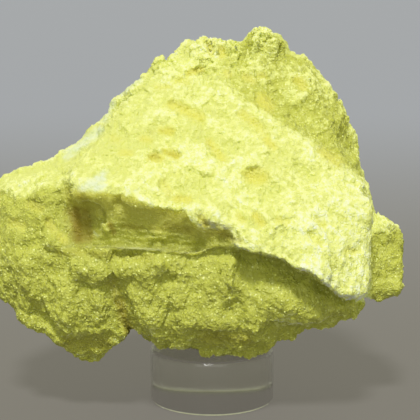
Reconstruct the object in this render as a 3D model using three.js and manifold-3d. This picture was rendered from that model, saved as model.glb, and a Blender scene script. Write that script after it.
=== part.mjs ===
// A hand specimen of massive native sulfur resting on a short round clear display stand.
// Millimetres, +Z up. The origin is the centre of the stand's base. The specimen's front faces -Y.

import * as THREE from "three";
import { ConvexHull } from "three/addons/math/ConvexHull.js";
import { ImprovedNoise } from "three/addons/math/ImprovedNoise.js";
import { mergeVertices } from "three/addons/utils/BufferGeometryUtils.js";
import Module from "manifold-3d";

// Driving dimensions
const STAND_DIAMETER = 25;
const STAND_HEIGHT = 11;
const STAND_EDGE = 0.8; // radius of the stand's polished edges
const STAND_SIDES = 48;
const SEAT_GAP = 0.05; // clear height between the stand's top and the specimen's seat
const SEAT_DIAMETER = STAND_DIAMETER + 4;

// How finely the specimen's surface is meshed, and how softly its lumps run into each other
const CELL = 2.15;
const LUMP_BLEND = 1.6;
const CARVE_BLEND = 0.7;
const RELAX_PASSES = 3;

// Each lump is the hull of a few corners, as a broken block has them: [x, y, z].
const LUMPS = {
  // The main mass, with the sloping face at the front top and the cliff's edge below it
  mountain: [
    [-20.5, 5, 57.5], [-16, 6, 63], [-12, 7, 67.5], [-6.5, 9, 71], [1, 10, 72.5],
    [2, -1, 63], [6.5, -3, 60.7], [11, -5, 58.2], [14.7, -6.5, 56], [18.6, -7.5, 53.6], [23, -8.5, 50.7],
    [26.5, -9, 48.5], [29, -9.5, 46.2], [-26, -17.5, 46.3], [-19.5, -20, 46.5], [-11.5, -21, 44], [-2.5, -22, 42.2], [10.5, -22.5, 40.5],
    [-25, -16.5, 34.5], [-19, -18.5, 34.5], [-2, -20, 35], [20, -18, 32], [29, -10, 30],
    [-27, 14, 50], [-14, 22, 58], [2, 24, 62], [22, 20, 50], [29, 14, 40], [27, 18, 28], [0, 26, 34], [-28, 18, 32],
  ],
  core: [
    [-34, -6, 26], [-27, -14.5, 30], [-27, -14, 40], [-24, -12, 24], [22, -11, 25],
    [-30, 10, 26], [-20, 18, 28], [20, 18, 28], [27, 4, 28], [-32, -2, 43], [-20, -12, 44], [20, -12, 44], [27, 0, 42], [-28, 10, 43], [-18, 14, 48], [20, 14, 48],
  ],
  // The face behind the ridge, a step lower than the front one and turned to the side, and the peak
  summit: [
    [-1, 10, 72.5], [9, 11, 73.5], [14.5, 11.5, 73.5], [18, 12, 70], [24.5, 14, 63.7], [27.5, 13.5, 57.7],
    [28.8, 12, 51.7], [30.2, 8, 48.4], [32.2, 3, 41.6], [33.5, -1, 38],
    [4, 5, 65], [7.5, 4, 62], [12.5, 3, 59], [17.5, 2, 55.5], [22.5, 0, 52], [26, -2, 49.5], [29, -3.5, 47],
    [31.5, -4, 40], [31, -6, 34], [3, 19, 69], [13, 21, 66], [23, 21, 56], [31, 14, 42], [31, 14, 30], [10, 0, 45],
  ],
  shoulder: [
    [-31.5, 1, 49.5], [-26.5, 3, 53.5], [-20.5, 5, 58], [-26, -17, 45.8], [-19, -19.5, 46],
    [-30, 12, 46], [-24, 16, 52], [-20, 10, 40], [-26, -8, 40],
  ],
  westLobe: [
    [-44, -1, 41], [-43.5, 1, 46], [-36.5, 1, 49], [-31, 1, 49.5], [-26, 3, 52], [-37.5, -9, 43], [-29, -13, 45],
    [-39.5, -11.5, 35.5], [-27, -16, 36], [-43.5, -5, 27], [-42, 8, 40], [-43, 8, 28], [-38, 16, 41], [-28, 19, 45],
    [-36, 17, 25], [-24, 20, 28], [-22, 0, 28],
  ],
  // The lower mass, which ends in a downward point at the left
  westFoot: [
    [-43, -7, 32.5], [-41.5, -9, 24], [-38.6, -9, 20], [-35.7, -10, 17.5], [-28.5, -12, 13.5], [-24.4, -10.5, 10.4],
    [-22, -11, 11.8], [-16, -11, 16.4], [-39, -13, 32.5], [-31.5, -15.5, 34.5], [-25, -17, 36.5],
    [-20, -18.5, 35.5], [-12, -19.5, 35], [-34, -15, 24], [-29, -15.5, 20], [-23.5, -15.5, 17], [-18, -16.5, 20], [-12, -18.5, 22],
    [-38, 9, 22], [-27, 9, 13.5], [-16, 9, 15], [-36, 15, 30], [-18, 14, 24],
  ],
  band: [
    [-23, -18, 34], [-12, -19.5, 34.5], [4.5, -20, 34.5], [15, -18.5, 28.5], [16, -17, 22.5], [17.2, -13.5, 17.5],
    [15, -14.5, 16.5], [11.6, -15, 14.6], [6.8, -15.5, 13.2], [1.8, -16, 13.4], [-2.4, -16, 14], [-10, -15, 15],
    [-12.8, -14, 16.2], [-15.5, -14, 19], [-11, -19, 20.5], [7, -19, 19.5], [-21.5, -17.5, 25],
    [11, 9, 10.6], [-8, 9, 10.6], [-18, 14, 20], [17, 14, 20], [20, 21, 32], [-20, 22, 32], [0, 25, 27],
  ],
  eastBulge: [
    [4, -22.5, 39], [4.6, -23.2, 36.3], [8.9, -24.8, 36], [12.5, -25.3, 34.8], [15.3, -25.2, 33], [18.2, -24.8, 32],
    [21.4, -23.4, 29.4], [25.1, -21.5, 26], [28.5, -19.2, 24.9], [30.1, -17.6, 27.4], [30.6, -16.6, 34.1],
    [30.4, -15.2, 42.8], [27.3, -15.2, 44.3], [22.4, -16, 45.7], [16.5, -17, 46.7], [10.9, -22.2, 41.3],
    [25, 0, 45], [32, 2, 36], [29, 0, 26], [20, -8, 27], [5, -10, 37],
  ],
  eastBlock: [
    [31.5, -5, 37.5], [34, -4, 37.8], [36.5, -3, 37], [38, -3, 35], [38, -5, 25], [35, -6.5, 22.8], [30, -8, 22],
    [37, 9, 34], [36.5, 11, 26], [29, 14, 24], [28, 13, 38], [26, 0, 24],
  ],
  eastFoot: [
    [13, -18.5, 32], [22, -17.5, 29], [26, -16.5, 25.5], [28, -12.5, 20.5], [26, -11.5, 18.2], [21.8, -13, 18.2],
    [17.3, -13, 17.6], [14, -18, 27], [15, -17.5, 21.5], [22.6, -16.5, 22],
    [24, -14, 32], [17, -15, 33], [26, 9, 18], [31, 8, 25], [16, 12, 17], [29, 0, 30], [14, 0, 30],
  ],
};

// Rounded knobs that stand on the crest and edges: centre and radius
const KNOBS = [
  { at: [9.5, 10.5, 71.6], radius: 3.2 },
  { at: [13.6, 11.0, 71.4], radius: 3.2 },
  { at: [-10.8, 7.5, 67.2], radius: 2.6 },
  { at: [-4.6, 9.0, 69.8], radius: 2.8 },
  { at: [34.5, -2.6, 35.6], radius: 2.6 },
  { at: [-22.5, -17.0, 45.0], radius: 2.4 },
  { at: [26.4, 7.0, 56.5], radius: 2.4 },
];

// Hollows: the dark recess under the front corner, the foot of the cliff, the nick in the underside, the crease
// below the peak and three dimples of the front face. Each is a round-ended cut from one point to the other.
const HOLLOWS = [
  { from: [-25.4, -17.4, 41.6], to: [-23.8, -17.6, 41.4], radius: 2.9 },
  { from: [-24.9, -18.6, 39.4], to: [-24.9, -20.4, 36.6], radius: 2.9 },
  { from: [-18.5, -22.2, 40.6], to: [-11.0, -23.4, 38.6], radius: 2.6 },
  { from: [-15.4, -16.5, 17.8], to: [-15.8, 2, 14.6], radius: 1.7 },
  { from: [1.0, 3.0, 71.6], to: [10.0, -0.5, 65.4], radius: 2.0 },
  { from: [-4.6, -5.6, 61.2], to: [-2.6, -7.4, 59.6], radius: 2.0 },
  { from: [8.4, -16.8, 51.8], to: [8.6, -17.4, 51.4], radius: 2.2 },
  { from: [-5.8, -19.8, 47.8], to: [-3.4, -20.4, 47.2], radius: 1.9 },
];

// Broken relief, coarse to fine: the size of its forms and how far they stand out
const RELIEF = [
  { size: 15, height: 0.9, seed: 3.1 },
  { size: 7.5, height: 0.9, seed: 17.7 },
  { size: 4.6, height: 0.6, seed: 41.3 },
];
const RELIEF_REACH = 4; // beyond this distance from the surface the relief is left out of the sum

const noise = new ImprovedNoise();

function hullPlanes(corners) {
  const hull = new ConvexHull().setFromPoints(corners.map((corner) => new THREE.Vector3(...corner)));
  return hull.faces.map((face) => {
    const normal = face.normal.clone().normalize();
    return { normal, constant: -normal.dot(face.midpoint) };
  });
}

const lumpPlanes = Object.values(LUMPS).map(hullPlanes);

function outsideHull(planes, point) {
  let most = -Infinity;
  for (const { normal, constant } of planes) {
    most = Math.max(most, normal.dot(point) + constant);
  }
  return most;
}

function joined(a, b, blend) {
  const share = Math.max(blend - Math.abs(a - b), 0) / blend;
  return Math.min(a, b) - (share * share * blend) / 4;
}

function carved(a, hollow, blend) {
  return -joined(-a, hollow, blend);
}

const asVector = (xyz) => new THREE.Vector3(...xyz);
const hollowLines = HOLLOWS.map(({ from, to, radius }) => ({
  line: new THREE.Line3(asVector(from), asVector(to)),
  radius,
}));
const knobCentres = KNOBS.map(({ at, radius }) => ({ centre: asVector(at), radius }));
const nearest = new THREE.Vector3();

function reliefAt({ x, y, z }) {
  let sum = 0;
  for (const { size, height, seed } of RELIEF) {
    sum += height * noise.noise(x / size + seed, y / size + seed * 2, z / size - seed);
  }
  return sum;
}

// Signed distance, near enough, from the specimen's surface: below zero inside.
function field(point) {
  let distance = Infinity;
  for (const planes of lumpPlanes) {
    const lump = outsideHull(planes, point);
    distance = distance === Infinity ? lump : joined(distance, lump, LUMP_BLEND);
  }
  for (const { centre, radius } of knobCentres) {
    distance = joined(distance, centre.distanceTo(point) - radius, LUMP_BLEND);
  }
  for (const { line, radius } of hollowLines) {
    line.closestPointToPoint(point, true, nearest);
    distance = carved(distance, nearest.distanceTo(point) - radius, CARVE_BLEND);
  }
  return Math.abs(distance) < RELIEF_REACH ? distance - reliefAt(point) : distance;
}

// Samples the field on a grid of cells that covers every lump.
function sampledGrid() {
  const box = new THREE.Box3().setFromPoints(Object.values(LUMPS).flat().map(asVector));
  box.expandByScalar(3 * CELL);
  const counts = box.getSize(new THREE.Vector3()).divideScalar(CELL).ceil().addScalar(1);
  const grid = { low: box.min, nx: counts.x, ny: counts.y, nz: counts.z };
  grid.index = (i, j, k) => i + grid.nx * (j + grid.ny * k);
  grid.values = new Float32Array(grid.nx * grid.ny * grid.nz);
  const point = new THREE.Vector3();
  for (let k = 0; k < grid.nz; k++) {
    for (let j = 0; j < grid.ny; j++) {
      for (let i = 0; i < grid.nx; i++) {
        point.set(i, j, k).multiplyScalar(CELL).add(grid.low);
        grid.values[grid.index(i, j, k)] = field(point);
      }
    }
  }
  return grid;
}

// Fills every pocket that the air outside doesn't reach.
function fillPockets(grid) {
  const reached = new Uint8Array(grid.values.length);
  const waiting = [[0, 0, 0]];
  reached[0] = 1;
  while (waiting.length > 0) {
    const [i, j, k] = waiting.pop();
    for (const [a, b, c] of [[1, 0, 0], [-1, 0, 0], [0, 1, 0], [0, -1, 0], [0, 0, 1], [0, 0, -1]]) {
      const [ni, nj, nk] = [i + a, j + b, k + c];
      if (ni < 0 || nj < 0 || nk < 0 || ni >= grid.nx || nj >= grid.ny || nk >= grid.nz) continue;
      const next = grid.index(ni, nj, nk);
      if (reached[next] || grid.values[next] < 0) continue;
      reached[next] = 1;
      waiting.push([ni, nj, nk]);
    }
  }
  grid.values = grid.values.map((value, n) => (reached[n] ? value : Math.min(value, -CELL)));
}

// Fills grid points until no square of four has its inside corners only on a diagonal, so that the surface is closed.
function closeDiagonals(grid) {
  const steps = [[1, 0, 0], [0, 1, 0], [0, 0, 1]];
  const inside = (i, j, k) => grid.values[grid.index(i, j, k)] < 0;
  const planes = [[0, 1], [1, 2], [0, 2]];
  for (let changed = true; changed; ) {
    changed = false;
    for (let k = 0; k < grid.nz - 1; k++) {
      for (let j = 0; j < grid.ny - 1; j++) {
        for (let i = 0; i < grid.nx - 1; i++) {
          for (const [a, b] of planes) {
            const [ai, aj, ak] = steps[a];
            const [bi, bj, bk] = steps[b];
            const square = [
              [i, j, k],
              [i + ai, j + aj, k + ak],
              [i + ai + bi, j + aj + bj, k + ak + bk],
              [i + bi, j + bj, k + bk],
            ];
            const state = square.map((corner) => inside(...corner));
            if (state[0] === state[2] && state[1] === state[3] && state[0] !== state[1]) {
              const empty = square[state[0] ? 1 : 0];
              grid.values[grid.index(...empty)] = -0.02 * CELL;
              changed = true;
            }
          }
        }
      }
    }
  }
}

// One vertex in each cell that the surface crosses, and a quad round each crossed edge.
function surfaceNet(grid) {
  const vertexOf = new Map();
  const points = [];
  const value = (i, j, k) => grid.values[grid.index(i, j, k)];
  const cellVertex = (i, j, k) => {
    const key = grid.index(i, j, k);
    if (vertexOf.has(key)) return vertexOf.get(key);
    const sum = new THREE.Vector3();
    let crossings = 0;
    const corner = (n) => [i + (n & 1), j + ((n >> 1) & 1), k + ((n >> 2) & 1)];
    for (let a = 0; a < 8; a++) {
      for (const bit of [1, 2, 4]) {
        const b = a | bit;
        if (b === a) continue;
        const [pa, pb] = [corner(a), corner(b)];
        const [va, vb] = [value(...pa), value(...pb)];
        if (va < 0 === vb < 0) continue;
        sum.add(asVector(pa).lerp(asVector(pb), va / (va - vb)));
        crossings++;
      }
    }
    points.push(sum.divideScalar(crossings).multiplyScalar(CELL).add(grid.low));
    vertexOf.set(key, points.length - 1);
    return points.length - 1;
  };
  const quads = [];
  const around = [
    { step: [1, 0, 0], u: [0, 1, 0], v: [0, 0, 1] },
    { step: [0, 1, 0], u: [0, 0, 1], v: [1, 0, 0] },
    { step: [0, 0, 1], u: [1, 0, 0], v: [0, 1, 0] },
  ];
  for (let k = 1; k < grid.nz - 1; k++) {
    for (let j = 1; j < grid.ny - 1; j++) {
      for (let i = 1; i < grid.nx - 1; i++) {
        const here = value(i, j, k) < 0;
        for (const { step, u, v } of around) {
          if (here === value(i + step[0], j + step[1], k + step[2]) < 0) continue;
          const ring = [[0, 0], [1, 0], [1, 1], [0, 1]].map(([a, b]) =>
            cellVertex(i - a * u[0] - b * v[0], j - a * u[1] - b * v[1], k - a * u[2] - b * v[2]),
          );
          quads.push(here ? ring : ring.reverse());
        }
      }
    }
  }
  return { points, quads };
}

function gradientAt(point) {
  const reach = 0.25;
  const slope = new THREE.Vector3();
  for (const axis of ["x", "y", "z"]) {
    const ahead = point.clone();
    const behind = point.clone();
    ahead[axis] += reach;
    behind[axis] -= reach;
    slope[axis] = (field(ahead) - field(behind)) / (2 * reach);
  }
  return slope;
}

// Evens out the net's quads and brings its vertices back to the surface.
function relax(net) {
  const neighbours = net.points.map(() => new Set());
  for (const quad of net.quads) {
    quad.forEach((vertex, n) => {
      neighbours[vertex].add(quad[(n + 1) % 4]);
      neighbours[vertex].add(quad[(n + 3) % 4]);
    });
  }
  for (let pass = 0; pass < RELAX_PASSES; pass++) {
    const middles = net.points.map((point, n) => {
      const middle = new THREE.Vector3();
      for (const other of neighbours[n]) middle.add(net.points[other]);
      return middle.divideScalar(neighbours[n].size);
    });
    net.points.forEach((point, n) => {
      point.lerp(middles[n], 0.5);
      const slope = gradientAt(point);
      const steep = Math.max(slope.lengthSq(), 0.2);
      const move = slope.multiplyScalar(field(point) / steep);
      point.sub(move.clampLength(0, CELL / 2));
    });
  }
}

// Splits each quad along its shorter diagonal.
function trianglesOf({ points, quads }) {
  return quads.flatMap(([a, b, c, d]) =>
    points[a].distanceToSquared(points[c]) <= points[b].distanceToSquared(points[d])
      ? [a, b, c, a, c, d]
      : [a, b, d, b, c, d],
  );
}

function specimenGeometry() {
  const grid = sampledGrid();
  fillPockets(grid);
  closeDiagonals(grid);
  const net = surfaceNet(grid);
  relax(net);
  const geometry = new THREE.BufferGeometry().setFromPoints(net.points);
  geometry.setIndex(trianglesOf(net));
  return geometry;
}

// A round puck with softened edges, its foot at z = 0.
function standGeometry() {
  const radius = STAND_DIAMETER / 2;
  const outline = new THREE.Path();
  outline.moveTo(0, 0);
  outline.lineTo(radius - STAND_EDGE, 0);
  outline.absarc(radius - STAND_EDGE, STAND_EDGE, STAND_EDGE, -Math.PI / 2, 0, false);
  outline.absarc(radius - STAND_EDGE, STAND_HEIGHT - STAND_EDGE, STAND_EDGE, 0, Math.PI / 2, false);
  outline.lineTo(0, STAND_HEIGHT);
  const profile = outline.getPoints(2);
  return new THREE.LatheGeometry(profile, STAND_SIDES).rotateX(Math.PI / 2);
}

// The space of the stand and a little round it, cut from the specimen so that it has a flat seat.
function seatCutter() {
  const depth = STAND_HEIGHT + SEAT_GAP;
  const cutter = new THREE.CylinderGeometry(SEAT_DIAMETER / 2, SEAT_DIAMETER / 2, depth, STAND_SIDES);
  return cutter.rotateX(Math.PI / 2).translate(0, 0, depth / 2);
}

const wasm = await Module();
wasm.setup();

function toManifold(geometry) {
  const bare = geometry.clone();
  bare.deleteAttribute("normal");
  bare.deleteAttribute("uv");
  const merged = mergeVertices(bare, 1e-4);
  return new wasm.Manifold(
    new wasm.Mesh({
      numProp: 3,
      vertProperties: new Float32Array(merged.attributes.position.array),
      triVerts: new Uint32Array(merged.index.array),
    }),
  );
}

function fromManifold(solid) {
  const { vertProperties, triVerts } = solid.getMesh();
  const geometry = new THREE.BufferGeometry();
  geometry.setAttribute("position", new THREE.BufferAttribute(vertProperties, 3));
  geometry.setIndex(new THREE.BufferAttribute(triVerts, 1));
  geometry.computeVertexNormals();
  return geometry;
}

const sulfurYellow = new THREE.MeshStandardMaterial({ color: 0xe6e878, roughness: 0.75, metalness: 0 });
const clearAcrylic = new THREE.MeshStandardMaterial({
  color: 0xdfe3e0,
  roughness: 0.08,
  metalness: 0,
  transparent: true,
  opacity: 0.35,
});

const seated = toManifold(specimenGeometry()).subtract(toManifold(seatCutter()));
const sulfur = new THREE.Mesh(fromManifold(seated), sulfurYellow);
sulfur.name = "sulfur";

const stand = new THREE.Mesh(standGeometry(), clearAcrylic);
stand.name = "stand";

const specimen = new THREE.Group();
specimen.add(sulfur, stand);

export default specimen;
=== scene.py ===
"""The looks of the sulfur specimen on its clear stand, made in Blender 4.5 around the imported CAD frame."""

import math
from collections import namedtuple
from concurrent.futures import ThreadPoolExecutor

import bpy
import numpy as np
import openvdb
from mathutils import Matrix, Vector
from mathutils.bvhtree import BVHTree

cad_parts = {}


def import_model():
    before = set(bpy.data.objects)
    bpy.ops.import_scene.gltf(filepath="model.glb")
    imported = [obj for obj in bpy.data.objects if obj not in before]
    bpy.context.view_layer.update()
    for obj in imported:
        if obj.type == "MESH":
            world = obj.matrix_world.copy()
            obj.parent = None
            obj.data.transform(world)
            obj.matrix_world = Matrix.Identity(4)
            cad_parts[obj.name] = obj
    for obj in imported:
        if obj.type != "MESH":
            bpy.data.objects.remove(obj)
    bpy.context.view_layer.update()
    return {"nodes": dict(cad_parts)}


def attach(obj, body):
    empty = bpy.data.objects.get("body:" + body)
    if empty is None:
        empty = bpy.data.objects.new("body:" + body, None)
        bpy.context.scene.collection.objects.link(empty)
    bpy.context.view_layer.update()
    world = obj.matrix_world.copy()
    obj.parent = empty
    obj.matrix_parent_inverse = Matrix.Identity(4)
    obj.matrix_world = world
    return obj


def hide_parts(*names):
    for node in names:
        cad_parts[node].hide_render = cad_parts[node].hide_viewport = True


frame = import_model()

MM = 0.001  # the sculpting below is worked out in millimetres

# The photograph's camera, its frame in pixels, and about how large one pixel is at the specimen
PHOTO_SIDE = 420
FOCAL_PX = 1600.0
CAMERA_PITCH = math.radians(10.5)
CAMERA_AT = np.array([-0.4, -314.6, 97.4])
PIXEL_MM = 0.19

# The grid of the surface's broad forms: its pitch, how many cells it keeps on each side of the surface,
# how many a slope is measured over, and how often it is softened
BROAD_PITCH = 0.375
BAND = 10
SLOPE_REACH = 3
SOFTEN_PASSES = 2

# How far out or in the grid can take relief, and how much of that is left unused
RELIEF_REACH = 3.0
RELIEF_MARGIN = 0.2

# How many parts of the work are done at the same time
WORKERS = 4

# The surface's pieces are made on a finer grid. They meet at the crack under the ledge and at an uneven cut
# behind the crest, and overlap a little. The fine relief ends where a cut goes deeper than this.
FINER = 1.5
BACK_FROM = 8.0
CUT_WAVE = 0.9
OVERLAP = 0.15
FINE_RELIEF_END = (-0.6, -0.2)
PIECE_TRIANGLES = 196000
SEAM_ANGLE = math.radians(75)

# The small crystals on each piece: how many, their usual radius, how much that varies, the smallest and
# largest as shares of it, and how far each may be stretched
GRAIN_COUNT = 1500
GRAIN_RADIUS = 0.16
GRAIN_VARIETY = 0.38
GRAIN_SIZES = (0.6, 2.4)
GRAIN_STRETCH = 0.35
GRAIN_SEED = 7

# Lines of the photograph's frame, from left to right, that part the specimen's faces
RIDGE_PX = [
    (205, 88), (222, 88), (248, 102), (268, 114), (288, 129), (308, 142), (329, 160), (349, 174), (366, 186),
]
CREST_PX = [(100, 108), (128, 90), (160, 84), (200, 83), (222, 88)]
CLIFF_PX = [
    (70, 188), (108, 192), (150, 204), (186, 211), (191, 222), (205, 229), (228, 232), (240, 239),
    (262, 244),
]
LEDGE_PX = [
    (0, 243), (45, 246), (110, 248), (160, 250), (180, 253), (196, 252), (216, 247), (237, 248), (260, 251),
    (280, 258), (295, 267), (310, 271), (327, 284), (337, 294), (345, 299), (362, 301),
]

# Slots and pits of the photograph: both ends, the radius and depth in millimetres, and how golden they are
PITS_PX = [
    ((251, 176), (261, 177), 1.9, 1.3, 0.9), ((162, 131), (171, 131), 1.0, 0.9, 1.0),
    ((142, 139), (149, 140), 0.8, 0.6, 0.8), ((122, 153), (130, 153), 0.9, 0.7, 0.7),
    ((152, 157), (160, 158), 1.1, 1.2, 1.0), ((166, 152), (177, 156), 1.0, 1.2, 1.0),
    ((172, 105), (186, 110), 1.3, 0.8, 0.8), ((188, 112), (200, 117), 1.3, 1.0, 0.8),
    ((157, 87), (171, 87), 0.8, 0.6, 0.5), ((188, 73), (201, 70), 0.8, 0.9, 0.9),
    ((176, 80), (186, 81), 0.9, 0.9, 0.5), ((113, 138), (119, 141), 0.8, 0.5, 0.4),
    ((164, 184), (169, 192), 1.1, 0.7, 0.5), ((176, 198), (188, 200), 1.0, 0.9, 0.9),
    ((242, 114), (256, 124), 1.1, 0.9, 0.7), ((256, 124), (266, 135), 1.2, 0.7, 0.5),
    ((266, 140), (274, 147), 0.9, 0.9, 0.9), ((209, 142), (215, 150), 0.9, 0.8, 0.8),
    ((215, 150), (223, 159), 1.0, 0.9, 0.8), ((226, 73), (229, 75), 0.8, 0.9, 0.6),
    ((245, 77), (252, 81), 0.9, 0.9, 0.7), ((259, 75), (264, 76), 0.8, 0.8, 0.6),
    ((221, 49), (222, 55), 0.9, 1.0, 0.8), ((209, 46), (211, 52), 0.9, 0.9, 0.7),
    ((205, 40), (212, 44), 0.9, 0.8, 0.3), ((317, 220), (323, 225), 1.0, 0.8, 0.4),
    ((312, 235), (321, 243), 1.1, 0.9, 0.3), ((256, 217), (261, 223), 1.1, 1.1, 1.0),
    ((278, 220), (288, 222), 0.8, 0.6, 0.5), ((347, 250), (355, 252), 0.9, 0.5, 0.4),
    ((201, 218), (206, 223), 1.0, 0.9, 0.7), ((238, 216), (243, 221), 0.8, 0.7, 0.6),
    ((30, 205), (40, 208), 1.1, 0.8, 0.4), ((12, 222), (22, 226), 1.1, 0.9, 0.4),
    ((48, 222), (54, 230), 1.0, 0.8, 0.5), ((60, 236), (66, 241), 0.9, 0.8, 0.6),
    ((262, 99), (268, 106), 1.5, 0.9, 0.9), ((322, 152), (338, 162), 1.3, 0.9, 0.8),
    ((298, 80), (303, 86), 1.1, 0.8, 0.8), ((118, 205), (126, 212), 1.0, 0.9, 0.5),
    ((150, 226), (160, 230), 1.0, 0.9, 0.5), ((108, 224), (114, 232), 0.9, 0.6, 0.0),
]

# Lumps that stand out: both ends, the radius and height in millimetres
LUMPS_PX = [
    ((212, 214), (222, 226), 2.0, 1.2), ((206, 45), (232, 43), 2.2, 1.2), ((116, 103), (136, 86), 1.8, 1.4),
    ((250, 33), (258, 31), 1.6, 0.5), ((276, 34), (280, 38), 1.5, 0.5), ((322, 80), (334, 92), 1.6, 0.8),
    ((262, 45), (272, 50), 2.0, 0.4), ((84, 184), (100, 189), 1.8, 0.6), ((348, 314), (358, 306), 2.6, 1.6),
    ((374, 292), (396, 288), 2.2, 1.6), ((126, 201), (146, 203), 1.3, 0.9), ((24, 317), (58, 338), 1.9, 1.5),
    ((260, 27), (278, 28), 1.5, 0.8), ((112, 341), (130, 333), 1.6, 1.2), ((236, 66), (250, 70), 1.4, 0.6),
    ((300, 262), (326, 274), 1.6, 0.5), ((381, 227), (392, 228), 1.4, 0.4), ((40, 276), (66, 316), 5.0, 0.9),
    ((165, 276), (215, 300), 5.5, 0.9), ((236, 280), (270, 305), 4.5, 0.9),
    ((278, 292), (306, 310), 4.5, 1.2), ((296, 300), (330, 312), 3.4, 0.9),
    ((82, 196), (102, 200), 2.6, 0.8), ((82, 268), (98, 272), 2.6, 1.9), ((128, 269), (138, 273), 2.4, 1.7),
    ((196, 322), (226, 326), 3.0, 0.9), ((193, 213), (204, 224), 1.9, 1.4),
    ((112, 238), (150, 240), 1.8, 0.9), ((150, 240), (180, 244), 1.5, 0.55),
    ((96, 216), (104, 238), 1.4, 0.8), ((116, 64), (119, 61), 1.0, 0.7), ((133, 50), (137, 48), 1.1, 0.6),
    ((160, 40), (166, 40), 1.2, 0.6), ((176, 38), (180, 37), 1.0, 0.5),
]

# Broad hollows in the outline and in the faces: both ends, the radius and depth in millimetres
HOLLOWS_PX = [
    ((349, 110), (355, 140), 4.4, 2.8), ((40, 160), (68, 148), 4.0, 2.8), ((82, 134), (111, 109), 3.8, 2.8),
    ((146, 62), (148, 72), 2.2, 1.6), ((184, 42), (194, 40), 2.0, 1.0), ((242, 37), (250, 29), 2.2, 1.5),
    ((286, 28), (294, 46), 3.4, 2.8), ((85, 362), (90, 361), 1.8, 1.8), ((146, 338), (162, 349), 1.8, 1.3),
    ((395, 228), (401, 233), 1.2, 0.7), ((111, 286), (119, 304), 2.6, 1.7),
    ((119, 304), (131, 328), 2.2, 2.2), ((286, 340), (300, 334), 2.6, 2.0),
    ((308, 331), (332, 327), 2.6, 2.2), ((357, 316), (364, 308), 2.0, 1.2),
    ((200, 355), (256, 355), 2.8, 1.8), ((84, 346), (106, 341), 2.6, 1.0),
    ((206, 337), (246, 340), 2.4, 0.9), ((68, 216), (76, 236), 3.0, 1.6), ((118, 141), (166, 136), 3.6, 0.9),
    ((196, 128), (226, 150), 3.0, 0.6),
]

# Where the stone is painted dark, partly its own deep brown and mostly painted shade in the recess, under the
# ledge and the lumps, in the band's gap and on undersides: both ends, the radius in millimetres, and how dark
# it is
AMBER_AND_SHADE_PX = [
    ((76, 213), (79, 236), 2.5, 1.0), ((85, 213), (88, 236), 2.2, 0.8), ((205, 224), (227, 228), 1.4, 0.5),
    ((152, 156), (158, 158), 0.8, 0.35), ((167, 153), (176, 156), 0.7, 0.35),
    ((150, 132), (154, 133), 0.8, 0.25), ((110, 224), (114, 232), 0.9, 0.8),
    ((80, 196), (86, 200), 1.1, 0.5), ((112, 282), (119, 302), 1.6, 0.4), ((119, 302), (128, 330), 1.6, 0.7),
    ((66, 345), (106, 342), 2.4, 0.3), ((206, 337), (246, 338), 2.0, 0.35),
    ((60, 252), (150, 256), 1.3, 0.25), ((222, 234), (240, 241), 1.2, 0.5),
    ((124, 226), (140, 228), 1.0, 0.4), ((166, 226), (190, 230), 1.2, 0.4),
]

# Where the stone is painted white: dusty on the front corner, and painted highlights on the ledge's rim, on
# the edges of the upper faces and as bright spots in the recess: both ends, the radius in millimetres, and
# how white it is
WHITE_PX = [
    ((82, 188), (102, 188), 1.3, 1.0), ((88, 184), (102, 178), 1.3, 1.0), ((96, 178), (105, 172), 0.9, 0.8),
    ((120, 248), (166, 250), 0.4, 0.3), ((196, 251), (236, 246), 0.4, 0.3),
    ((236, 246), (262, 249), 0.6, 0.4), ((92, 204), (94, 209), 0.3, 0.5), ((94, 232), (98, 236), 0.3, 0.5),
    ((114, 233), (118, 235), 0.3, 0.5), ((66, 156), (100, 130), 1.3, 0.9),
    ((104, 120), (112, 103), 1.0, 0.7), ((122, 92), (140, 80), 0.9, 0.6),
]

# Steps from one face to the next, each between two columns or two rows of the photograph's frame
UPPER_COLUMNS = (200, 248)
BULGE_COLUMNS = (262, 310)
BULGE_ROWS = (165, 205)
BULGE_END = (368, 376)
BLOCK_COLUMNS = (370, 374)
BLOCK_ROWS = (230, 250)
LOBE_END = (64, 78)
LOBE_ROWS = (170, 214)
CREST_END = (220, 240)
PEAK_COLUMNS = (200, 230)
PEAK_FOOT = (50, 70)
LYING_BACK_COLUMNS = (214, 236)
SHADED_END = (110, 160)
SHADED_FOOT = (165, 185)
PAINTED_LIGHT_FOOT_COLUMNS = (255, 290)

# How many pixels the uneven edges of these faces wander
UPPER_WANDER = 60
BLOCK_WANDER = 20
LOBE_WANDER = 40

# The first and last column of the cliff, of the part that is cut back, of the thin lip and of the overhang
CLIFF_SPAN = (66, 230)
CUT_SPAN = (84, 205)
LIP_SPAN = (112, 345)
OVERHANG_SPAN = (236, 352)

# How far the main forms of the relief stand out or in, in millimetres
SWELL_HEIGHT = 0.5
RIB_HEIGHT = 1.5
LYING_BACK_DEPTH = 1.4
CLIFF_DEPTH = 2.5
LAYER_HEIGHT = 0.5
LIP_HEIGHT = 0.5
CRACK_DEPTH = 1.0
OVERHANG_DEPTH = 1.2

# The sizes of what the stone broke into, in millimetres, from the largest lumps to the grains
BLOCK_SIZE = 4.6
LUMP_SIZE = 2.3
CLUMP_SIZE = 1.45
GRAIN_SIZE = 0.75

# Pits, hollows and lumps are made a little wider than listed, since their edges are uneven, and the pits
# also deeper, with a steeper wall at the top
PIT_SCALE = 1.2
STRETCH_SCALE = 1.25
PIT_TOP_WALL = 0.25

# The fine faces that look this way, to the key light, are painted pale as painted light, and the others deep
# yellow as painted shade: from none of it at the first cosine of the angle between to all of it at the second
PAINTED_LIGHT_SIDE = np.array([-0.06, -0.57, 0.82])
PAINTED_LIGHT_RANGE = (-0.2, 0.85)


# Noise, worked out for many points at once, with a seed for each pattern

CELL_CORNERS = [np.array([corner & 1, corner >> 1 & 1, corner >> 2 & 1]) for corner in range(8)]

# What brings the noise to about -1 to 1, and how far the middle of a grain strays within its cell
NOISE_GAIN = 1.6
GRAIN_STRAY = 0.85


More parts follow.
